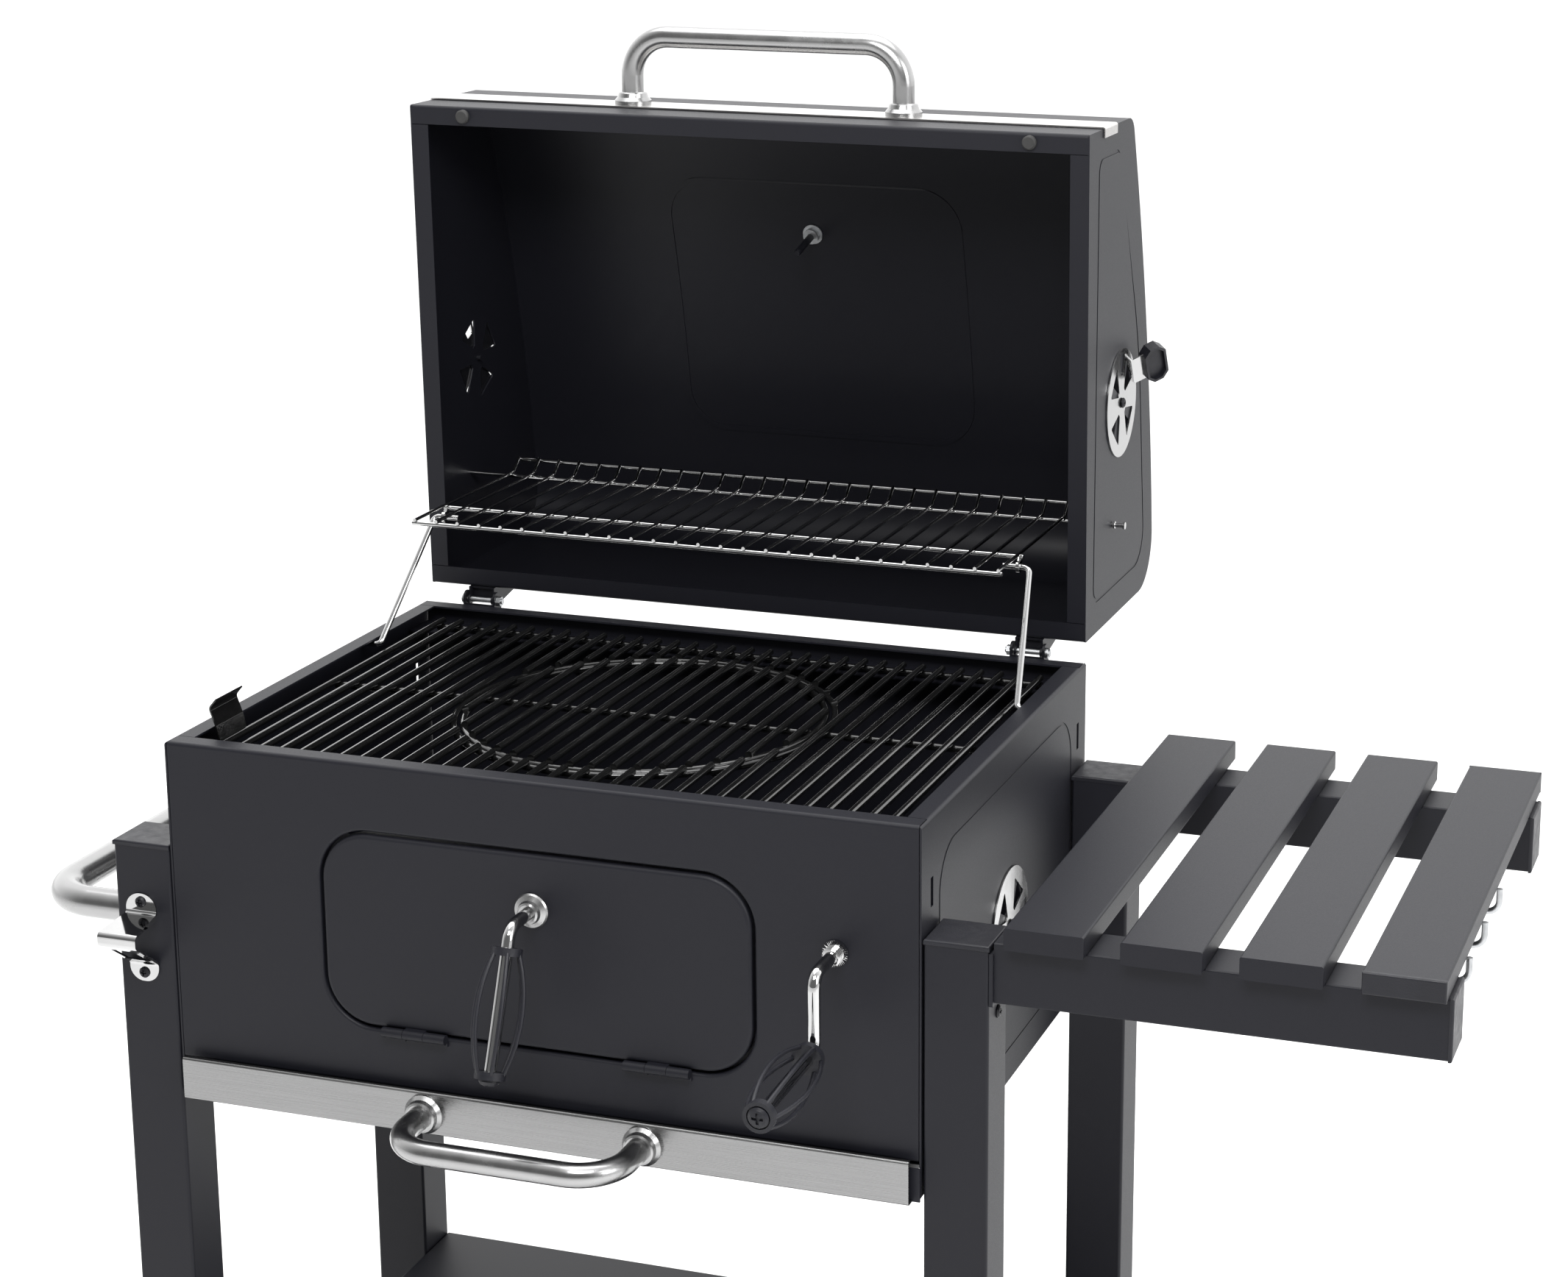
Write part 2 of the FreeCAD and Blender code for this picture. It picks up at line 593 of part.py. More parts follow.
def cart_screws():
    """Visible screw heads on the cart, and the vents' centre screws."""
    opener_x = -LEG_X - 2.5
    heads = [screw_head((opener_x, -1.6, z), (0, -1, 0)) for z in (-136, -195.5)]
    outer = LEG_X + LEG_W / 2
    for y in (ARM_FRONT_Y, ARM_REAR_Y):
        heads.append(screw_head((outer, y + 20, ARM_TOP - ARM_H - 14), (1, 0, 0), 5))
    for side in (-1, 1):
        for y in (LEG_D / 2, LEG_REAR_Y + LEG_D / 2):
            heads.append(screw_head((side * outer, y, SHELF_TOP - 12), (side, 0, 0), 5))
        stem = rod((side * (BOX_W / 2 - SHEET - 4), *BOX_VENT),
                   (side * (BOX_W / 2 + 2.2), *BOX_VENT), VENT_STEM_R)
        heads.append(join([stem, screw_head((side * (BOX_W / 2 + 2), *BOX_VENT), (side, 0, 0))]))
    return Part.makeCompound(heads)


# ---- lid and its hinge ---------------------------------------------------------------------

def mouth_point(distance):
    """Point in the lid's mouth plane, counted down from its top edge."""
    (y0, z0), (y1, z1) = LID_MOUTH_TOP, LID_MOUTH_LOW
    share = distance / math.hypot(y1 - y0, z1 - z0)
    return (y0 + (y1 - y0) * share, z0 + (z1 - z0) * share)


MOUTH = math.hypot(LID_MOUTH_LOW[0] - LID_MOUTH_TOP[0], LID_MOUTH_LOW[1] - LID_MOUTH_TOP[1])


def lid_shell():
    """The lid's front, crowned top and rear wall in one folded sheet, with mouth flanges."""
    half = LID_W / 2 - SHEET
    crown = [(y, z) for y, z, _ in LID_CROWN]
    path = [mouth_point(MOUTH - FLANGE), LID_MOUTH_LOW] + crown[::-1]
    path += [LID_MOUTH_TOP, mouth_point(FLANGE)]
    bends = [0, 1.5] + [r - SHEET for _, _, r in LID_CROWN[::-1]] + [1.5, 0]
    shell = bent_sheet("X", path, bends, -half, half)
    bead = 0.8
    raised = [b - bead if b > 10 else b for b in bends]
    thick = bent_sheet("X", path, raised, -half, half, SHEET + bead)
    frame = rounded_rectangle((-143, 143), (128, 375), 40, 600, 700)
    frame = frame.cut(rounded_rectangle((-138, 138), (133, 370), 35, 599, 701))
    shell = join([shell, thick.common(frame)])
    skin = V(0, *THERMO)
    inward = V(0, -math.cos(math.radians(THERMO_TILT)), -math.sin(math.radians(THERMO_TILT)))
    shell = shell.cut(Part.makeCylinder(3.6, 6, skin - inward * 3, inward))
    for x in (-LID_POST_X, LID_POST_X):
        shell = shell.cut(rod((x, LID_POST_Y, 440), (x, LID_POST_Y, 455), 3.2))
    return shell


def lid_side_right():
    """Lid side wall with its mouth flange, vent holes and the rack's pivot hole."""
    x = (LID_W / 2 - SHEET, LID_W / 2)
    outline = [LID_MOUTH_TOP] + [(y, z) for y, z, _ in LID_CROWN] + [LID_MOUTH_LOW]
    radii = [2.0] + [r for _, _, r in LID_CROWN] + [2.0]
    wall = plate("X", outline, radii, *x)
    low, high = mouth_point(MOUTH - FLANGE - SEAM), mouth_point(FLANGE + SEAM)
    inset = [(low[0] + SHEET, low[1]), (high[0] + SHEET, high[1])]
    flange = plate("X", [low, high, inset[1], inset[0]], 0, LID_W / 2 - FLANGE, x[0] + 0.5)
    wall = join([wall, flange])
    outline = [(467, 428), (533, 428), (612, 240), (640, 42), (467, 42)]
    wall = pressed_line(wall, outline, [15, 15, 400, 30, 15], x[1])
    wall = vent_holes(wall, LID_VENT, (x[0] - 1, x[1] + 1), VENT_PHASE - VENT_PART_OPEN)
    wall = wall.cut(rod((x[0] - 1, *LID_VENT), (x[1] + 1, *LID_VENT), VENT_STEM_R + RUN_FIT))
    bore = rod((x[0] - 1, *RACK_PIVOT), (x[1] + 1, *RACK_PIVOT), 2 + RUN_FIT)
    return wall.cut(bore)


def lid_strip():
    """Stainless strip along the lid's front wall, folded over both ends."""
    edge, top = LID_W / 2 + 1.6, LID_MOUTH_TOP[1] + 1.7
    path = [(-edge, top - 9), (-edge, top), (edge, top), (edge, top - 9)]
    strip = bent_sheet("Y", path[::-1], 0.8, STRIP_Y[0], STRIP_Y[1], 1.2)
    for x in (-LID_POST_X, LID_POST_X):
        strip = strip.cut(rod((x, LID_POST_Y, top - 3), (x, LID_POST_Y, top + 1), 3.2))
    return strip


def lid_handle():
    """Brushed tube handle on two collars."""
    base = LID_MOUTH_TOP[1] + 1.7
    top = base + LID_HANDLE_RISE
    x, y = LID_POST_X, LID_POST_Y
    points = [(-x, y, base), (-x, y, top), (x, y, top), (x, y, base)]
    tube = bent_tube(points, 34.0, HANDLE_R, 1.5)
    return Part.makeCompound([tube] + both(collar((x, y, base), (0, 0, 1), HANDLE_R)))


def lid_bumpers():
    """Rubber buffers in the front corners of the mouth flange."""
    centre = mouth_point(FLANGE / 2)
    (y0, z0), (y1, z1) = LID_MOUTH_TOP, LID_MOUTH_LOW
    outward = (0, (z1 - z0) / MOUTH, -(y1 - y0) / MOUTH)
    profile = [(0, 0), (6, 0), (6, 3.2), (4.8, 4.4), (0, 4.4)]
    return Part.makeCompound(both(turned(profile, (257.7, *centre), outward)))


def hinge_lugs():
    """U brackets behind the rear panel that hold the hinge bolts."""
    ear = [(BOX_D, -26), (BOX_D + 6, -26), (HINGE_Y + 8, HINGE_Z - 6), (HINGE_Y + 8, HINGE_Z + 8),
           (HINGE_Y - 6.2, HINGE_Z + 8), (HINGE_Y - 6.2, HINGE_Z)]
    pieces = []
    for offset in (-15.5, 13.5):
        x = HINGE_X + offset
        flap = plate("X", ear, [0, 2, 4, 7.5, 5.5, 0], x, x + 2)
        hole = rod((x - 1, HINGE_Y, HINGE_Z), (x + 3, HINGE_Y, HINGE_Z), HINGE_PIN_R)
        pieces.append(flap.cut(hole))
    base = block((HINGE_X - 15.5, HINGE_X + 15.5), (BOX_D, BOX_D + 1.5), (-26, 0.5))
    return Part.makeCompound(both(join(pieces + [base])))


def hinge_bolts():
    """Bright bolts through both hinges, with a nut on the inner end."""
    bolt = rod((HINGE_X - 21, HINGE_Y, HINGE_Z), (HINGE_X + 16.5, HINGE_Y, HINGE_Z), HINGE_PIN_R)
    head = turned([(0, 0), (4.6, 0), (4.6, 2.2), (3.2, 3.4), (0, 3.4)],
                  (HINGE_X + 15.6, HINGE_Y, HINGE_Z), (1, 0, 0))
    corners = [(HINGE_Y + 4.6 * math.cos(math.radians(60 * i)),
                HINGE_Z + 4.6 * math.sin(math.radians(60 * i))) for i in range(6)]
    nut = plate("X", corners, 0, HINGE_X - 19.5, HINGE_X - 15.6)
    return Part.makeCompound(both(join([bolt, head, nut])))


def lid_hinge_brackets():
    """Plates under the lid's rear wall with two ears round each hinge bolt."""
    top = LID_MOUTH_LOW[1]
    ear = [(HINGE_Y - 0.2, HINGE_Z + 3), (HINGE_Y - 0.2, top), (508, top), (508, top - 6),
           (HINGE_Y + 8, HINGE_Z - 5), (HINGE_Y + 1.5, HINGE_Z - 3.8)]
    pieces = []
    for offset in (-12.5, 10.5):
        x = HINGE_X + offset
        flap = plate("X", ear, 0, x, x + 2)
        eye = rod((x, HINGE_Y, HINGE_Z), (x + 2, HINGE_Y, HINGE_Z), 4.2)
        hole = rod((x - 1, HINGE_Y, HINGE_Z), (x + 3, HINGE_Y, HINGE_Z), HINGE_PIN_R + RUN_FIT)
        pieces.append(join([flap, eye]).cut(hole))
    base = block((HINGE_X - 12.5, HINGE_X + 12.5), (447, 508), (top - 2, top))
    web = block((HINGE_X - 12.5, HINGE_X + 12.5), (HINGE_Y + 5.5, HINGE_Y + 7.5), (HINGE_Z - 4, top))
    return Part.makeCompound(both(join(pieces + [base, web])))


def thermometer(profile):
    """A turned thermometer piece, its heights counted out from the lid's skin."""
    tilt = math.radians(THERMO_TILT)
    return turned(profile, (0, *THERMO), (0, math.cos(tilt), math.sin(tilt)))


def thermometer_case():
    """Round dial case on the outside of the lid."""
    return thermometer([(0, 0.4), (12, 0.4), (31, 3), (33, 5), (33, 11), (31.5, 12.5), (29.5, 12.5),
                        (29.5, 10), (0, 10)])


def thermometer_stem():
    """Probe, washer and nut inside the lid."""
    return thermometer([(0, 0.4), (3.4, 0.4), (3.4, -1.6), (9.3, -1.6), (9.3, -3), (7, -3),
                        (7, -9), (3.2, -9), (3.2, -42), (2.2, -44), (0, -44)])


def lid_screws():
    """Vent centre screws, flange screws and strip screws of the lid."""
    heads = []
    face = LID_W / 2
    stem = rod((face - SHEET - 4, *LID_VENT), (face + 2.2, *LID_VENT), VENT_STEM_R)
    heads += both(join([stem, screw_head((face + 2, *LID_VENT), (1, 0, 0))]))
    for x in (-238, 262):
        heads.append(screw_head((x, 470, LID_MOUTH_LOW[1] + SHEET), (0, 0, 1), 4.0))
    for x in (-205, -162):
        heads.append(screw_head((x, 505, LID_MOUTH_TOP[1] - SHEET), (0, 0, -1), 3.2))
    return Part.makeCompound(heads)


# ---- warming rack --------------------------------------------------------------------------

def stay_head():
    """Where the arms' upper ends lie: the same step from their pivot as the rack's from the hinge."""
    return (STAY_PIVOT[0] + RACK_PIVOT[0] - HINGE_Y, STAY_PIVOT[1] + RACK_PIVOT[1] - HINGE_Z)


def warming_rack():
    """Chrome wire rack that hangs in the lid on its second rail."""
    rail_r, wire_r, weld = 2.0, 1.5, 0.4
    y_pivot, z = RACK_PIVOT
    wire_z = z + rail_r + wire_r - weld
    back = (y_pivot + 15, z + 14.5)
    rails = [rod((-RACK_HALF, y, z), (RACK_HALF, y, z), rail_r)
             for y in (RACK_FRONT_Y, RACK_MIDDLE_Y)]
    end = LID_W / 2 + 12
    rails.append(rod((-end, y_pivot, z), (end, y_pivot, z), rail_r))
    for x in (LID_W / 2 + 1, end - 2):
        rails += both(rod((x, y_pivot, z), (x + 2, y_pivot, z), 3.2))
    head = stay_head()
    for x in (-RACK_HALF + 1, RACK_HALF - 4):
        eye = rod((x, *head), (x + 3, *head), 5)
        link = plate("X", [(RACK_MIDDLE_Y - 2, z), (head[0] - 3, head[1] + 1), (head[0] + 3, head[1] - 3),
                           (RACK_MIDDLE_Y + 1.5, z)], 0, x, x + 3)
        hole = rod((x - 1, *head), (x + 4, *head), STAY_R + RUN_FIT)
        rails.append(join([eye, link]).cut(hole))
    rear = (back[0] + 2.6, back[1] - 2.5)
    rails.append(rod((-RACK_HALF, *rear), (RACK_HALF, *rear), rail_r))
    wires = []
    for i in range(RACK_WIRES):
        x = (i - (RACK_WIRES - 1) / 2) * RACK_WIRE_PITCH
        points = [(x, RACK_FRONT_Y - 2, wire_z), (x, y_pivot + 2, wire_z), (x, *back)]
        wires.append(bent_rod(points, 4.0, wire_r))
    return join(rails + wires)


def rack_stays():
    """Two wire arms that swing in the firebox and carry the rack's front by its eyes."""
    head, foot = stay_head(), STAY_PIVOT
    points = [(BOX_W / 2 - 0.4, *foot), (STAY_FOOT_X, *foot), (STAY_HEAD_X, *head),
              (RACK_HALF - 16, *head)]
    return Part.makeCompound(both(bent_rod(points, [0, 5.0, 6.0, 0], STAY_R)))


# ---- cooking grate -------------------------------------------------------------------------

def grate_bars(inside):
    """Front-to-back bars, either those inside the round insert or those round it."""
    bars = []
    radius = INSERT_R if inside else RING_R
    for i in range(GRATE_BARS):
        x = (i - (GRATE_BARS - 1) / 2) * GRATE_PITCH
        off = abs(x - RING_C[0])
        cross = math.sqrt(max(radius ** 2 - off ** 2, 0))
        ends = (28.0, 409.0)
        if inside:
            spans = [(RING_C[1] - cross, RING_C[1] + cross)] if cross > 25 else []
        elif cross > 0:
            spans = [(ends[0], RING_C[1] - cross), (RING_C[1] + cross, ends[1])]
        else:
            spans = [ends]
        for y in spans:
            bars.append(rod((x, y[0], GRATE_BAR_Z), (x, y[1], GRATE_BAR_Z), ROD_R))
    return bars


def ring(radius, z):
    """Round wire hoop of the grate."""
    return Part.makeTorus(radius, ROD_R, V(RING_C[0], RING_C[1], z), V(0, 0, 1))


def insert_lugs():
    """Four lugs under the hoop that the round insert rests on."""
    under = GRATE_ROD_Z + 1 - ROD_R - GAP
    lug = block((INSERT_R - 4, RING_R + 2), (-4, 4), (under - 3, under))
    web = block((RING_R - 2, RING_R + 2), (-4, 4), (under - 3, under + 3))
    lug = lug.fuse(web)
    lug.translate(V(*RING_C, 0))
    return [lug.copy().rotate(V(*RING_C, 0), V(0, 0, 1), 45 + 90 * i) for i in range(4)]


def cooking_grate():
    """Enamelled grate with a round hole for its insert, and its lifting tab."""
    rods = [rod((-GRATE_HALF, y, GRATE_ROD_Z), (GRATE_HALF, y, GRATE_ROD_Z), ROD_R) for y in (32, 405)]
    for side in (-1, 1):
        x = (side * (RING_R - 1), side * GRATE_HALF)
        rods.append(rod((x[0], RING_C[1], GRATE_ROD_Z), (x[1], RING_C[1], GRATE_ROD_Z), ROD_R))
    frame = join(rods + [ring(RING_R, GRATE_ROD_Z + 1)] + insert_lugs() + grate_bars(False))
    path = [(-280, -10), (-284, 6), (-289, 20), (-283, 27)]
    tab = bent_sheet("Y", path, 4, 31, 71, 1.2)
    return Part.makeCompound([frame, tab])


def grate_insert():
    """Round lift-out middle of the grate, resting inside the hoop."""
    cross = rod((-INSERT_R + 1, RING_C[1], GRATE_ROD_Z), (INSERT_R - 1, RING_C[1], GRATE_ROD_Z), ROD_R)
    return join([cross, ring(INSERT_R, GRATE_ROD_Z + 1)] + grate_bars(True))


# ---- refill door ---------------------------------------------------------------------------

def knuckle(x, radius=KNUCKLE_R):
    """One hinge knuckle between two X limits."""
    return rod((x[0], DOOR_HINGE_Y, DOOR_HINGE_Z), (x[1], DOOR_HINGE_Y, DOOR_HINGE_Z), radius)


def door_panel():
    """Rounded pan-shaped door with the middle knuckle of each hinge."""
    x, z = (-DOOR_HALF, DOOR_HALF), DOOR_Z
    door = rounded_rectangle(x, z, DOOR_CORNER, -0.8, 8)
    face = [e for e in door.Edges if abs(e.BoundBox.YMax + 0.8) < 1e-6]
    door = door.makeFillet(3.5, face)
    wall = SHEET
    hollow = rounded_rectangle((x[0] + wall, x[1] - wall), (z[0] + wall, z[1] - wall),
                               DOOR_CORNER - wall, 0.7, 9)
    door = door.cut(hollow)
    for side in (-1, 1):
        middle = side * DOOR_HINGE_X
        span = (middle - KNUCKLE_L / 2 + GAP, middle + KNUCKLE_L / 2 - GAP)
        leaf = block(span, (DOOR_HINGE_Y, 3), (DOOR_HINGE_Z + 1.9, DOOR_HINGE_Z + 4))
        eye = knuckle(span)
        pin_hole = knuckle((span[0] - 1, span[1] + 1), 1.5 + RUN_FIT)
        door = join([door, leaf, eye]).cut(pin_hole)
    return door.cut(rod((0, -3, LATCH_Z), (0, 3, LATCH_Z), SPINDLE_R + RUN_FIT))


def door_hinge_leaves():
    """Fixed outer knuckles, their leaves and pins."""
    sets = []
    for side in (-1, 1):
        middle = side * DOOR_HINGE_X
        half = KNUCKLE_L * 1.5
        pieces = [knuckle((middle - half, middle + half), 1.5)]
        for x in ((middle - half, middle - KNUCKLE_L / 2), (middle + KNUCKLE_L / 2, middle + half)):
            pieces.append(knuckle(x))
            pieces.append(block(x, (-2, 0), (DOOR_HINGE_Z - 7, DOOR_HINGE_Z - 1.5)))
        sets.append(join(pieces))
    return Part.makeCompound(sets)


def grip_direction():
    """Unit direction of the latch grip."""
    length = math.hypot(*GRIP_LEAN)
    return (0, -GRIP_LEAN[0] / length, -GRIP_LEAN[1] / length)


def latch_rod():
    """Chrome latch rod with its inner catch bar."""
    along = grip_direction()
    reach = GRIP_L + 15
    end = (0, LATCH_BEND_Y + along[1] * reach, LATCH_Z + along[2] * reach)
    bar = bent_rod([(0, 13, LATCH_Z), (0, LATCH_BEND_Y, LATCH_Z), end], 14.0, SPINDLE_R)
    catch = block((-56, 7), (10, 13), (LATCH_Z - 7, LATCH_Z + 7))
    return join([bar, catch])


def latch_rosette():
    """Brushed dome where the latch rod leaves the door."""
    r = SPINDLE_R + RUN_FIT
    return turned([(r, 0), (14, 0), (14, 1.5), (13, 3), (9.5, 5), (8.5, 8), (7, 9), (r, 9)],
                  (0, -0.8, LATCH_Z), (0, -1, 0))


def latch_grip():
    """Whisk grip on the latch rod."""
    along = grip_direction()
    base = (0, LATCH_BEND_Y + along[1] * 15, LATCH_Z + along[2] * 15)
    tip = tuple(b + d * GRIP_L for b, d in zip(base, along))
    return join([grip_cage(base, along, GRIP_L), screw_head(tip, along, 8.0, 5.0)])


# ---- crank and coal pan lift ---------------------------------------------------------------

def crank_grip_axis():
    """Start point and unit direction of the crank's grip."""
    tilt = math.radians(CRANK_GRIP_TILT)
    return (CRANK_X, CRANK_BEND_Y, CRANK_Z - CRANK_ARM), (0, -math.cos(tilt), -math.sin(tilt))


def crank_spindle():
    """Crank arm and the long lifting spindle in one bent bar, with a threaded neck."""
    corner, along = crank_grip_axis()
    end = tuple(c + d * (CRANK_GRIP_L + 9) for c, d in zip(corner, along))
    points = [(CRANK_X, 428, CRANK_Z), (CRANK_X, CRANK_BEND_Y, CRANK_Z), corner, end]
    bar = bent_rod(points, 11.0, SPINDLE_R)
    return join([bar, screw_head(end, along, 8.0, 3.4)])


def crank_grip():
    """Whisk grip that turns on the crank's outer arm."""
    corner, along = crank_grip_axis()
    base = tuple(c + d * 10 for c, d in zip(corner, along))
    cage = grip_cage(base, along, CRANK_GRIP_L)
    tip = V(*base) + V(*along) * (CRANK_GRIP_L - 2.5)
    return cage.cut(Part.makeCylinder(9, 5, tip, V(*along)))


def crank_bushings():
    """Front bushing with its thread rings, and the rear bearing of the spindle."""
    r = SPINDLE_R + RUN_FIT
    profile = [(r, 0), (8.8, 0), (8.8, 1.6), (10.5, 1.6), (10.5, 2.6), (6.4, 2.6)]
    for i in range(4):
        low = 3.0 + 2.4 * i
        profile += [(7.4, low + 0.6), (7.4, low + 1.2), (6.2, low + 2.2)]
    profile += [(r, 12.6)]
    front = turned(profile, (CRANK_X, 1.6, CRANK_Z), (0, -1, 0))
    rear = block((CRANK_X - 14, CRANK_X + 14), (BOX_D - SHEET - 12, BOX_D - SHEET),
                 (CRANK_Z - 14, CRANK_Z + 14))
    rear = rear.cut(rod((CRANK_X, 400, CRANK_Z), (CRANK_X, 432, CRANK_Z), r))
    return Part.makeCompound([front, rear])


def lift_carriage():
    """Sliding frame with four ramps and the nut that the spindle drives."""
    slope = LIFT / CARRIAGE_TRAVEL
    base = -255.8
    contact = PAN_PIN_Z - (PAN_PIN_R + GAP) * math.hypot(1, slope)
    pieces = []
    for y_pin in PAN_PINS_Y:
        y = (y_pin - CARRIAGE_TRAVEL - 10, y_pin + 10)
        surface = [contact - (yy - y_pin) * slope for yy in y]
        ramp = [(y[0], base), (y[1], base), (y[1], surface[1]), (y[0], surface[0])]
        pieces.append(plate("X", ramp, 0, 285, 290))
    pieces.append(block((285, 305), (18, 322), (base, base + 6)))
    sides = both(join(pieces))
    bars = [block((-290, 290), (y, y + 18), (base, base + 5)) for y in (18, 304)]
    nut = block((CRANK_X - 10, CRANK_X + 10), (32, 52), (CRANK_Z - 6, CRANK_Z + 6))
    arm = block((CRANK_X + 5, 298), (32, 52), (CRANK_Z - 6, CRANK_Z - 3))
    drop = block((295, 298), (32, 52), (base, CRANK_Z - 3))
    bore = rod((CRANK_X, 30, CRANK_Z), (CRANK_X, 54, CRANK_Z), SPINDLE_R + RUN_FIT)
    return join(sides + bars + [nut, arm, drop]).cut(bore)


def coal_pan():
    """Open pan for the charcoal, with slotted floor and four side pins."""
    x, y, z = (-PAN_HALF, PAN_HALF), PAN_Y, PAN_Z
    pan = block(x, y, z)
    pan = pan.makeFillet(6, [e for e in pan.Edges if e.BoundBox.ZLength > 20])
    pan = pan.cut(block((x[0] + SHEET, x[1] - SHEET), (y[0] + SHEET, y[1] - SHEET),
                        (z[0] + SHEET, z[1] + 1)))
    columns, rows = 9, 3
    for i in range(columns):
        for j in range(rows):
            cx = (i - (columns - 1) / 2) * 58
            cy = (y[0] + y[1]) / 2 + (j - (rows - 1) / 2) * 120
            pan = pan.cut(block((cx - 4, cx + 4), (cy - 40, cy + 40), (z[0] - 1, z[0] + 3)))
    pins = []
    for y_pin in PAN_PINS_Y:
        pins += both(rod((PAN_HALF - SHEET, y_pin, PAN_PIN_Z), (291.5, y_pin, PAN_PIN_Z), PAN_PIN_R))
    return join([pan] + pins)


# ---- ash drawer ----------------------------------------------------------------------------

def ash_tray():
    """Open tray with side lips that slide in the rails."""
    y, z = (-2.0, 432.0), (-293.0, TRAY_TOP)
    tray = block((-TRAY_HALF, TRAY_HALF), y, z)
    tray = tray.cut(block((-TRAY_HALF + SHEET, TRAY_HALF - SHEET), (y[0] + SHEET, y[1] - SHEET),
                          (z[0] + SHEET, z[1] + 1)))
    lips = both(block((TRAY_HALF - SHEET, 307), (14, y[1]), (z[1] - SHEET, z[1])))
    face = block((-BOX_W / 2 + 0.5, BOX_W / 2 - 0.5), (y[0], -0.5), (DRAWER_Z[0], z[1]))
    return join([tray, face] + lips)


def drawer_front():
    """Brushed stainless front of the ash drawer."""
    half = DRAWER_FRONT_HALF
    top, low = DRAWER_Z[1], DRAWER_Z[0]
    path = [(DRAWER_FRONT_Y + 4, top), (DRAWER_FRONT_Y, top), (DRAWER_FRONT_Y, low), (-2, low)]
    return bent_sheet("X", path, 1.0, -half, half, 1.2)


def drawer_handle():
    """Brushed tube handle of the drawer on two collars."""
    x, y, z = DRAWER_POST_X, DRAWER_FRONT_Y, DRAWER_POST_Z
    points = [(-x, y, z), (-x, DRAWER_HANDLE_Y, z), (x, DRAWER_HANDLE_Y, z), (x, y, z)]
    tube = bent_tube(points, 36.0, HANDLE_R, 1.5)
    return Part.makeCompound([tube] + both(collar((x, y, z), (0, -1, 0), HANDLE_R)))


# ---- output --------------------------------------------------------------------------------

def mirrored(shape):
    """The same piece for the left side."""
    return shape.mirror(V(0, 0, 0), V(1, 0, 0))


def all_nodes():
    """Every sub-part by name."""
    right_side, right_lid = firebox_side_right(), lid_side_right()
    lid_vent, lid_knob = air_vent(LID_W / 2, LID_VENT), vent_knob(LID_W / 2, LID_VENT)
    box_vent = air_vent(BOX_W / 2, BOX_VENT, BOX_VENT_TURN)
    box_knob = vent_knob(BOX_W / 2, BOX_VENT, BOX_VENT_TURN)
    shut = 45.0 - VENT_PART_OPEN
    return {
        "firebox_front": firebox_front(), "firebox_rear": firebox_rear(),
        "firebox_side_right": right_side, "firebox_side_left": mirrored(right_side),
        "box_ledges": box_ledges(), "tube_caps": tube_caps(),
        "leg_front_left": leg(-1, 0.0, LEG_BOTTOMS[-1]),
        "leg_rear_left": leg(-1, LEG_REAR_Y, LEG_BOTTOMS[-1]),
        "leg_front_right": leg(1, 0.0, LEG_BOTTOMS[1]),
        "leg_rear_right": leg(1, LEG_REAR_Y, LEG_BOTTOMS[1]),
        "leg_feet": leg_feet(), "lower_shelf": lower_shelf(),
        "shelf_arm_front": shelf_arm(ARM_FRONT_Y), "shelf_arm_rear": shelf_arm(ARM_REAR_Y),
        "shelf_brackets": shelf_brackets(), "shelf_slats": shelf_slats(),
        "tool_hooks": tool_hooks(), "axle": axle(),
        "wheel_front": wheel(-WHEEL_W - 10.5), "wheel_rear": wheel(BOX_D + 10.5),
        "push_handle": push_handle(), "bottle_opener": bottle_opener(),
        "cart_screws": cart_screws(), "hinge_lugs": hinge_lugs(), "hinge_bolts": hinge_bolts(),
        "crank_bushings": crank_bushings(), "door_hinge_leaves": door_hinge_leaves(),
        "lid_shell": lid_shell(), "lid_side_right": right_lid, "lid_side_left": mirrored(right_lid),
        "lid_strip": lid_strip(), "lid_handle": lid_handle(), "lid_bumpers": lid_bumpers(),
        "lid_hinge_brackets": lid_hinge_brackets(), "lid_screws": lid_screws(),
        "thermometer_case": thermometer_case(), "thermometer_stem": thermometer_stem(),
        "lid_vent_right": lid_vent,
        "lid_vent_left": mirrored(air_vent(LID_W / 2, LID_VENT, shut)),
        "lid_vent_knob_right": lid_knob,
        "lid_vent_knob_left": mirrored(vent_knob(LID_W / 2, LID_VENT, shut)),
        "box_vent_right": box_vent, "box_vent_left": mirrored(box_vent),
        "box_vent_knob_right": box_knob, "box_vent_knob_left": mirrored(box_knob),
        "warming_rack": warming_rack(), "rack_stays": rack_stays(),
        "cooking_grate": cooking_grate(), "grate_insert": grate_insert(),
        "door_panel": door_panel(), "latch_rod": latch_rod(), "latch_rosette": latch_rosette(),
        "latch_grip": latch_grip(), "crank_spindle": crank_spindle(), "crank_grip": crank_grip(),
        "lift_carriage": lift_carriage(), "coal_pan": coal_pan(),
        "ash_tray": ash_tray(), "drawer_front": drawer_front(), "drawer_handle": drawer_handle(),
    }


def save(nodes):
    """Move every piece into the cart's own frame and write it."""
    os.makedirs("parts", exist_ok=True)
    for name, shape in nodes.items():
        shape = shape.copy()
        shape.translate(V(-ORIGIN_X, -ORIGIN_Y, RIM_HEIGHT))
        shape.exportStep("parts/" + name + ".step")


save(all_nodes())
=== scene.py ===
import math

import bpy
from mathutils import Matrix, Vector

